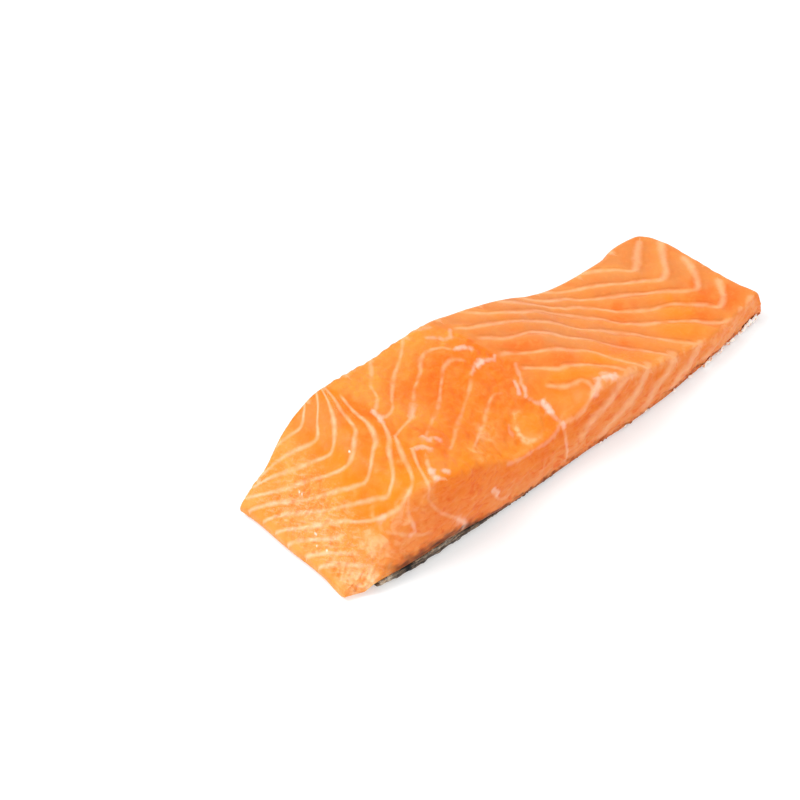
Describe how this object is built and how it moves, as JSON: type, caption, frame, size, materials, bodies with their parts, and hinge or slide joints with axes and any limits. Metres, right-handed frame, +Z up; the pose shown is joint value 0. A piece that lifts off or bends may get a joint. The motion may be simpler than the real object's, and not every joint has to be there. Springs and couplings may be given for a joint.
{
  "type": "skin-on salmon fillet portion",
  "caption": "Raw skin-on salmon fillet portion: a long cut slab, thick and domed at the back end, thin at the belly, with folded muscle layers over dark skin.",
  "frame": {"origin": "middle of the portion's plan, at the surface it lies on", "axes": "+X from the thick back end to the thin belly end, -Y the front knife cut, +Z up from the skin to the cut flesh"},
  "size_m": [0.1712, 0.0533, 0.0277],
  "materials": {
    "flesh": "raw orange flesh with pale seams, moist and slightly translucent",
    "skin": "moist scaled skin, slate grey at the back and silver towards the belly"
  },
  "bodies": {
    "root": {"salmon_flesh": "flesh", "salmon_skin": "skin"}
  },
  "joints": []
}
